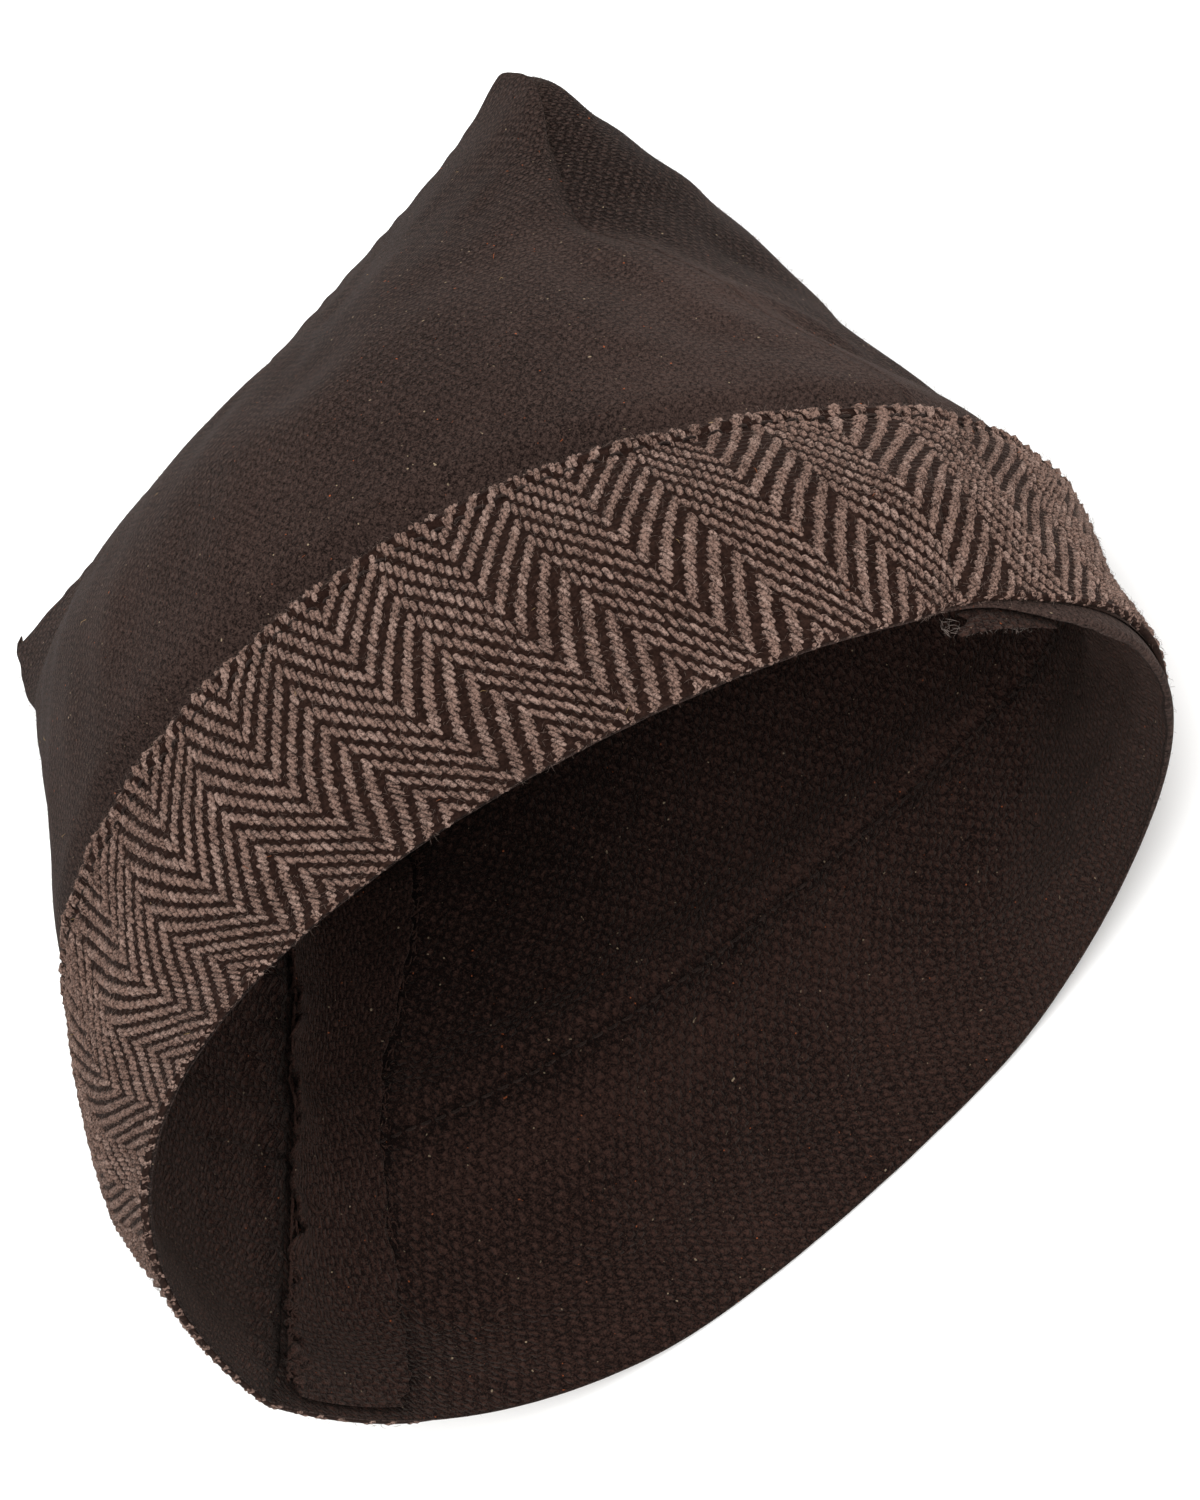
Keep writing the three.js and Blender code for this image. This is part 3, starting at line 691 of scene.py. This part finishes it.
def band_point(u, v, proud=0.0, yarn=False):
    """A point of the band's face: u mm along it, v mm up from its lower edge, 'proud' mm out from the
    cloth. The cloth rolls over at both edges, and a row of stitches draws it in below the upper one."""
    u, v, proud = np.broadcast_arrays(np.asarray(u, float), v, proud)
    w = w_at(on_band(u, v) if yarn else u)
    side, s = side_s(w)
    lo, hi = EDGE_LOW, WIDTH - EDGE_R
    th_hi = np.clip((v - hi) / EDGE_R, 0, math.pi)
    th_lo = np.clip((lo - v) / EDGE_LOW, 0, math.pi)
    vv = np.clip(v, lo, hi) + (EDGE_R + proud) * np.sin(th_hi) - (EDGE_LOW + proud) * np.sin(th_lo)
    r = np.where(th_lo > 0, EDGE_LOW, EDGE_R)
    depth = r - (r + proud) * np.cos(np.maximum(th_hi, th_lo))
    edge = 0.80 * np.exp(-(((v - (WIDTH - 3.3)) / 0.75) ** 2)) - 0.55 * np.exp(-(((v - (WIDTH - 1.0)) / 1.5) ** 2))
    low_edge = -0.15 * np.exp(-(((v - 0.9) / 1.2) ** 2))
    stitch = 0.75 + 0.25 * np.cos(u * 2 * math.pi / 3.6)
    depth = depth + edge * np.where(edge > 0, stitch, 1.0) + low_edge
    # soft unevenness of the edge itself
    wave = 0.22 * waves(u, u * 0, 17, 3) * np.clip(v / WIDTH, 0, 1) ** 4
    # its lower edge hides the cloth's own edge in front and stops short of it behind
    slip = 0.42 * smooth(w / 0.06) * (1 - smooth((w - 0.55) / 0.30)) - 2.4 * smooth((w - 1.07) / 0.08) * (1 - smooth((w - 1.82) / 0.12))
    t = T_LOW + ((T_TOP - T_LOW) * (vv + wave) - slip / RISE_SPAN * WIDTH * (1 - smooth(v / 12.0))) / WIDTH
    return surf(side, s, t, depth)


def make_band():
    u = np.linspace(0, BAND_LENGTH, 420 + 1)
    v_out = np.concatenate([np.linspace(-1.1, EDGE_R, 7), np.linspace(EDGE_R, WIDTH - EDGE_R, 42)[1:-1],
                            np.linspace(WIDTH - EDGE_R, WIDTH + 1.9, 8)])
    U, V = np.meshgrid(u, v_out)
    outer = band_point(U, V)
    sd, s = side_s(w_at(U))
    q = np.clip((V - 0.2) / (WIDTH - 0.4), 0.004, 0.996)
    tq = T_LOW + (T_TOP - T_LOW) * q
    inner = surf(sd, s, tq, BAND_WALL * rim_press(tq) - 0.02)
    uv = np.stack([U, V], -1)
    return shell("herringbone_band_cloth", outer, inner, uv, uv, [band_ground, band_ground], turn=1, round_by=0.1)


band = make_band()

# a 2/2 twill of 13 warps to a column; the columns fit round the band, so that its ends match
REPEAT, PER_COLUMN, WEFT, PEAK = 4, 13, 1.35, 19.6
WARPS = 50 * PER_COLUMN
WARP = BAND_LENGTH / WARPS
STEP = REPEAT * WEFT


def tilt(u):
    """How far the yarns that run along the band have climbed across it: they are a little off its edges."""
    knots = np.array([0, 22, 45, 62, 110, 126, 200.0])
    rate = np.array([0.10, 0.20, 0.22, 0.15, 0.15, 0.06, 0.06])
    x = np.linspace(0, 200, 401)
    rise = np.concatenate([[0], np.cumsum(np.interp(x, knots, rate)[:-1] * 0.5)])
    return np.where(u < 200, np.interp(u, x, rise), rise[-1] + (5 * STEP - rise[-1]) * (u - 200) / (BAND_LENGTH - 200))


def floats_grid():
    """Centre (u, v) of each light float: two up, two down, and the slant turns at each column."""
    i = np.arange(WARPS)
    u = (i + 0.5) * WARP
    k = np.abs((i - int(PEAK / WARP) + PER_COLUMN) % (2 * PER_COLUMN) - PER_COLUMN)
    phase = tilt(u) - k * WEFT
    rows = np.arange(-2, int(WIDTH / STEP) + 5)
    v = rows[None, :] * STEP + (phase % STEP)[:, None] - STEP
    uu = u[:, None] + np.zeros_like(v)
    w = w_at(u)[:, None] + 0 * v
    ok = (v > np.where((w > 1.12) & (w < 1.88), 1.2, -1.7)) & (v < WIDTH + 1.9)
    return uu[ok], v[ok]


def make_floats():
    u, v = floats_grid()
    g = np.random.default_rng(41)
    n = len(u)
    half_l = WEFT * g.uniform(1.06, 1.26, n)
    half_w = WARP * g.uniform(0.60, 0.74, n)
    height = g.uniform(0.55, 0.85, n)
    lean = g.normal(-0.06, 0.09, n)
    v = v + g.normal(0, 0.10, n)
    u = u + g.normal(0, 0.06, n)
    k = np.array([-1, -0.66, 0, 0.66, 1])
    wide = np.array([0.46, 0.88, 1.0, 0.88, 0.46])
    high = np.array([-0.30, 0.68, 1.0, 0.68, -0.30])
    c = np.array([-1.0, -0.6, 0.0, 0.6, 1.0])
    rise = np.array([-1, 0.62, 1.0, 0.62, -1])
    nk, nc = len(k), len(c)
    K, C = np.meshgrid(np.arange(nk), np.arange(nc), indexing="ij")
    du = half_w[:, None, None] * wide[K] * c[C] + lean[:, None, None] * half_l[:, None, None] * k[K]
    dv = half_l[:, None, None] * k[K]
    pr = np.where((high[K] < 0) | (rise[C] < 0), -0.22, height[:, None, None] * high[K] * rise[C])
    pr = np.where((rise[C] < 0) & (high[K] > 0), 0.04 * high[K], pr)
    low = 0.55 + 0.45 * smooth((v - 0.5) / 3.0)             # pressed flatter at the lower edge
    pr = np.where(pr > 0, pr * low[:, None, None], pr)
    P = band_point(u[:, None, None] + du, v[:, None, None] + dv, pr, True)
    face = []
    for a in range(nk - 1):
        for b in range(nc - 1):
            o = a * nc + b
            face.append([o, o + 1, o + nc + 1, o + nc])
        o = a * nc
        face.append([o, o + nc, o + 2 * nc - 1, o + nc - 1])
    face = np.array(face)[:, ::-1]
    e = (nk - 1) * nc
    caps = np.array([np.arange(nc), e + np.arange(nc)[::-1]])
    pale = (g.random(n) < 0.25).astype(int)
    obs = []
    for nm, pick in (("herringbone_yarn_front", u < BAND_LENGTH * 0.5), ("herringbone_yarn_back", u >= BAND_LENGTH * 0.5)):
        m = int(pick.sum())
        at = np.arange(m)[:, None, None] * nk * nc
        F = (at + face[None]).reshape(-1, 4)
        G = (at + caps[None]).reshape(-1, nc)
        index = np.concatenate([np.repeat(pale[pick], len(face)), np.repeat(pale[pick], 2)])
        obs.append(add_mesh(nm, P[pick].reshape(-1, 3), [F, G], [band_light, band_light_pale], index))
    return obs


yarns = make_floats()


def make_stitches():
    """Dark topstitch thread in the groove below the band's upper edge, and its row inside the cap."""
    n = int(BAND_LENGTH / 3.6)
    u = (np.arange(n) + 0.5) * 3.6
    k = np.linspace(-1, 1, 5)
    uu = u[:, None] + 1.25 * k[None]
    pr = 0.62 - 0.80 * k[None] ** 4 + 0 * uu
    outside = band_point(np.clip(uu, 0.1, BAND_LENGTH - 0.1), WIDTH - 3.3 + 0.12 * np.sin(uu * 1.7), pr)
    w = w_at(np.clip(u[:, None] + 1.8 + 1.15 * k[None], 0.1, BAND_LENGTH - 0.1))
    sd, s = side_s(w)
    t = 0.262 + 0 * s
    inside = surf(sd, s, t, crown_depth(t) + WALL - 0.15 - 0.25 * (k[None] ** 4) * -1)
    a = tubes("topstitch_outside", outside, 0.00027, [thread_dark], 5, 0.6)
    b = tubes("topstitch_inside", inside, 0.00030, [thread_dark], 5, 0.6)
    return a, b


stitch_out, stitch_in = make_stitches()


# =============================================================================================
# Seam allowances, inside
# =============================================================================================
def allowance(name, s_seam, s_low, s_high, t_low, t_high, seed, s_drop=0.0):
    ni, nj = 26, 150
    u, v = np.meshgrid(np.linspace(0, 1, ni + 1), np.linspace(0, 1, nj + 1))
    g = np.random.default_rng(seed)
    t = t_low + (t_high - t_low) * v
    edge = s_low + (s_high - s_low) * v
    wob = (0.55 * waves(v * 100, v * 0, 9, seed) + 0.3 * waves(v * 100, v * 0, 2.6, seed + 1)) / SEAM_SPAN
    rough = (1.3 + 1.5 * waves(v * 100, v * 0, 3.1, seed + 5) + 1.0 * waves(v * 100, v * 0, 8.0, seed + 6)) / SEAM_SPAN
    away = np.sign(edge - s_seam)
    s = s_seam + u * (edge - s_seam) + wob * u + away * np.maximum(rough, 0) * (1 - u) ** 4
    if np.ndim(s_drop) or s_drop:
        t = t - s_drop * (1 - u) * (1 - smooth(v / 0.12)) / RISE_SPAN
    base = crown_depth(t) + WALL
    lift = 0.25 + 0.95 * u ** 4 * (1 + 0.5 * waves(v * 100, v * 0, 14, seed + 2)) + 0.5 * np.exp(-((u / 0.12) ** 2))
    low_end = smooth(v / 0.10)
    lift = np.clip(lift, 0.15, 1.9) * (0.4 + 0.6 * low_end)
    if s_seam > 0.5:                         # lumps where the seam's turned edge lies under it
        lumps = waves(v * 100, v * 0, 6.5, seed + 9) + 0.6 * waves(v * 100, v * 0, 2.8, seed + 10)
        lift = lift + 2.2 * np.clip(lumps, -0.1, 0.9) * np.exp(-((u / 0.16) ** 2)) * low_end
    thick = (1.25 - 0.45 * u ** 4) * (0.3 + 0.7 * low_end)
    low = surf(1.0, s, t, base + lift)
    top = surf(1.0, s, t, base + lift + thick)
    um = s * SEAM_SPAN
    vm = t * RISE_SPAN
    uv = np.stack([um, vm], -1) + 900
    if s_low > s_seam:
        low, top, uv = low[:, ::-1], top[:, ::-1], uv[:, ::-1]
    return shell(name, top, low, uv, uv, [crown_in, crown_in], turn=2)


left_allow = allowance("left_seam_allowance_cloth", 0.999, 0.925, 0.775, 0.006, 0.62, 71)
right_allow = allowance("right_seam_allowance_cloth", 0.003, 0.075, 0.070, -0.0155, 0.60, 73, 1.0)


def frayed_threads():
    """Loose ends: along the left seam and its allowance's edge, and at the end of the right allowance."""
    g = np.random.default_rng(77)
    runs = [  # how many, s at rim, s at top, t from, t to, spread of s, length mm, radius mm, material, lift
        (420, 0.997, 0.997, 0.01, 0.58, 0.0050, 2.8, 0.24, 0, 2.1),
        (200, 0.923, 0.779, 0.03, 0.55, 0.0028, 2.2, 0.15, 0, 1.3),
        (46, 0.006, 0.060, -0.016, -0.010, 0.020, 2.4, 0.060, 1, 1.6),
        (16, 0.004, 0.004, -0.010, 0.004, 0.006, 3.4, 0.055, 1, 1.9),
    ]
    paths, radii, which = [], [], []
    for n, s0, s1, t0, t1, wide, length, radius, mat, lift in runs:
        a = g.uniform(0, 1, n)
        if t0 < 0 and wide > 0.01:
            s = g.uniform(s0, s1, n)
            t = t0 + (t1 - t0) * g.random(n)
        else:
            s = s0 + (s1 - s0) * a + g.normal(0, wide, n)
            t = t0 + (t1 - t0) * a
        s = np.where(s > 0.5, np.minimum(s, 0.9985), np.maximum(s, 0.0015))
        ang = g.uniform(0, math.pi, n)
        half = length * g.uniform(0.4, 1.0, n) / 2
        k = np.linspace(-1, 1, 5)[None]
        curl = g.normal(0, 0.35, n)[:, None]
        du = half[:, None] * (np.cos(ang)[:, None] * k - np.sin(ang)[:, None] * curl * k ** 2)
        dv = half[:, None] * (np.sin(ang)[:, None] * k + np.cos(ang)[:, None] * curl * k ** 2)
        ss = np.clip(s[:, None] + du / SEAM_SPAN, 0.001, 0.999)
        tt = t[:, None] + dv / RISE_SPAN
        dep = crown_depth(np.maximum(tt, 0)) + WALL + lift * g.uniform(0.75, 1.0, n)[:, None] + 0.12 * k ** 2
        paths.append(surf(1.0, ss, tt, dep))
        radii.append(np.full((n, 5), radius / 1000) * g.uniform(0.6, 1.1, n)[:, None])
        which.append(np.full(n, mat))
    # single loose ends inside, near the left seam: s, t, length mm, turn, curl
    for s0, t0, length, ang, curl in ((0.905, 0.125, 5.0, 0.5, 1.5), (0.957, 0.215, 6.5, 0.05, 0.3), (0.83, 0.10, 4.0, 2.2, 0.8)):
        k = np.linspace(-1, 1, 5)
        du = length / 2 * (math.cos(ang) * k - math.sin(ang) * curl * k ** 2)
        dv = length / 2 * (math.sin(ang) * k + math.cos(ang) * curl * k ** 2)
        tt = t0 + dv / RISE_SPAN
        paths.append(surf(1.0, s0 + du / SEAM_SPAN, tt, crown_depth(tt) + WALL + 2.2)[None])
        radii.append(np.full((1, 5), 0.0003))
        which.append(np.array([0]))
    which = np.concatenate(which)
    P, R = np.concatenate(paths), np.concatenate(radii)
    a = tubes("frayed_threads_dark", P[which == 0], R[which == 0], [crown_in], 5, 0.5)
    b = tubes("frayed_threads_pale", P[which == 1], R[which == 1], [frayed], 4, 0.5)
    return a, b


frays = frayed_threads()


# =============================================================================================
# Loose fibres
# =============================================================================================
def fuzz_on_crown(n, seed):
    g = np.random.default_rng(seed)
    side = np.where(g.random(n) < 0.5, -1.0, 1.0)
    s, t = g.random(n), g.uniform(0.30, 0.965, n)
    e = 0.004
    p = surf(side, s, t, crown_depth(t))
    ps = surf(side, np.clip(s + e, 0, 1), t, crown_depth(t)) - surf(side, np.clip(s - e, 0, 1), t, crown_depth(t))
    pt = surf(side, s, np.clip(t + e, 0, 1), crown_depth(t)) - surf(side, s, np.clip(t - e, 0, 1), crown_depth(t))
    ps /= np.linalg.norm(ps, axis=1, keepdims=True) + 1e-12
    pt /= np.linalg.norm(pt, axis=1, keepdims=True) + 1e-12
    nn = np.cross(ps, pt) * side[:, None] * -1
    centre = np.array([0, 0.02, 0.05])
    flip = np.sign(np.sum(nn * (p - centre), axis=1))
    nn = nn * flip[:, None]
    ok = p[:, 2] > 0.0015
    a = g.uniform(0, 2 * math.pi, n)
    d = np.cos(a)[:, None] * ps + np.sin(a)[:, None] * pt + nn * g.uniform(0.05, 0.7, n)[:, None] ** 1.5
    d /= np.linalg.norm(d, axis=1, keepdims=True)
    L = g.uniform(0.0006, 0.0018, n)[:, None]
    base = p - nn * 0.00015
    tip = p + d * L + nn * 0.0001
    bow = nn * L * g.uniform(0.0, 0.3, n)[:, None]
    kind = np.where(g.random(n) < 0.0022, 1, 0) + np.where(g.random(n) < 0.002, 2, 0)
    kind = np.clip(kind, 0, 2)
    r = np.where(kind > 0, 0.00007, g.uniform(0.000016, 0.00003, n))
    return slivers("loose_fibres_crown", base[ok], tip[ok], bow[ok], r[ok], [fibre_crown, fibre_rust, fibre_gold], kind[ok])


def fuzz_on_band(n, seed):
    g = np.random.default_rng(seed)
    u = g.uniform(0.5, BAND_LENGTH - 0.5, n)
    v = g.uniform(-0.6, WIDTH + 1.2, n)
    p = band_point(u, v, 0.30)
    q = band_point(u, v, 0.80)
    nn = q - p
    nn /= np.linalg.norm(nn, axis=1, keepdims=True) + 1e-12
    pu = band_point(u + 0.3, v, 0.3) - p
    pu /= np.linalg.norm(pu, axis=1, keepdims=True) + 1e-12
    pv = np.cross(nn, pu)
    ok = p[:, 2] > 0.0015
    a = g.uniform(0, 2 * math.pi, n)
    d = np.cos(a)[:, None] * pu + np.sin(a)[:, None] * pv + nn * g.uniform(0.0, 0.75, n)[:, None] ** 1.5
    d /= np.linalg.norm(d, axis=1, keepdims=True)
    L = g.uniform(0.0007, 0.0019, n)[:, None]
    kind = np.where(g.random(n) < 0.002, 1, 0) + np.where(g.random(n) < 0.002, 2, 0)
    kind = np.clip(kind, 0, 2)
    r = np.where(kind > 0, 0.00006, g.uniform(0.000018, 0.000032, n))
    return slivers("loose_fibres_band", p[ok], (p + d * L + nn * 0.0001)[ok], (nn * L * g.uniform(0, 0.3, n)[:, None])[ok], r[ok],
                   [fibre_band, fibre_rust, fibre_gold], kind[ok])


fuzz_crown = fuzz_on_crown(13000, 7)
fuzz_band = fuzz_on_band(18500, 9)

# ============================================================================================= Pieces and bodies: each piece goes on the root body, and the CAD parts they stand for are hidden
# Pieces, bodies, slots, sheets
# =============================================================================================
for ob, s in ((front, "brown_wool"), (back, "brown_wool"), (band, "herringbone_wool"),
              (yarns[0], "herringbone_wool"), (yarns[1], "herringbone_wool"),
              (stitch_out, "brown_wool"), (stitch_in, "brown_wool"),
              (left_allow, "brown_wool"), (right_allow, "brown_wool"),
              (frays[0], "brown_wool"), (frays[1], "brown_wool"), (fuzz_crown, "brown_wool"), (fuzz_band, "herringbone_wool")):
    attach(ob, "root")
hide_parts("crown_front_panel")
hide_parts("crown_back_panel")
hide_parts("herringbone_band")
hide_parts("left_seam_allowance")
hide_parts("right_seam_allowance")

# =============================================================================================
# Camera, floor and light
# =============================================================================================
def row(p):
    p = np.asarray(p, float)
    return np.array([p @ ACROSS - CENTRE_X, p @ ALONG - CENTRE_Y, p @ UP - FLOOR]) / 1000


def turn(d):
    d = np.asarray(d, float)
    return np.array([d @ ACROSS, d @ ALONG, d @ UP])


EYE = row((1327.43, -1716.78, -1430.86))
RIGHT, DOWN, AHEAD = turn((0.56336, 0.74101, -0.36541)), turn((-0.65809, 0.13504, -0.74073)), turn((-0.49954, 0.65778, 0.56373))
cam_data = bpy.data.cameras.new("camera")
cam_data.sensor_fit = "VERTICAL"
cam_data.sensor_height = 24.0
cam_data.lens = 15291.11 / 1500 * 24.0
cam_data.clip_start, cam_data.clip_end = 0.05, 50
cam = bpy.data.objects.new("camera", cam_data)
bpy.context.scene.collection.objects.link(cam)
cam.matrix_world = Matrix([[*(RIGHT[i], -DOWN[i], -AHEAD[i]), EYE[i]] for i in range(3)] + [[0, 0, 0, 1]])
bpy.context.scene.camera = cam


def plain(name, color, rough=0.9):
    g = Nodes(name)
    pos = g.place()
    n = g.noise(pos, 60, 3.0, 0.6)
    lo = tuple(c * 0.985 for c in color)
    return g.finish(g.mix(n, lo, color), g.bump(n, 0.0002, 0.2), rough, 0.0, (1, 1, 1), 0.5, 0.1)


me = bpy.data.meshes.new("floor")
me.from_pydata([(-6, -6, 0), (6, -6, 0), (6, 6, 0), (-6, 6, 0)], [], [(0, 1, 2, 3)])
floor = bpy.data.objects.new("floor", me)
bpy.context.scene.collection.objects.link(floor)
me.materials.append(plain("pale_floor", (0.955, 0.955, 0.95)))

world = bpy.data.worlds.new("studio")
bpy.context.scene.world = world
world.use_nodes = True
bg = world.node_tree.nodes["Background"]
bg.inputs[0].default_value = (1.0, 0.995, 0.985, 1)
bg.inputs[1].default_value = 1.30


def area(name, direction, dist, size, power, color=(1, 1, 1)):
    d = bpy.data.lights.new(name, "AREA")
    d.shape = "DISK"
    d.size, d.energy, d.color = size, power, color
    o = bpy.data.objects.new(name, d)
    bpy.context.scene.collection.objects.link(o)
    v = np.asarray(direction, float)
    v = v / np.linalg.norm(v)
    at = np.array([0, 0.0, 0.07]) + v * dist
    o.location = at
    o.rotation_euler = Vector(-v).to_track_quat("-Z", "Y").to_euler()
    return o


key = area("key_softbox", -AHEAD * 1.0 - DOWN * 0.25 - RIGHT * 0.12, 2.4, 1.5, 56)
fill = area("fill_softbox", -AHEAD * 0.9 + RIGHT * 0.5 + DOWN * 0.15, 2.6, 1.8, 5)

view = bpy.context.scene.view_settings
view.view_transform = "Standard"
view.look = "None"
view.exposure, view.gamma = 0.0, 1.0
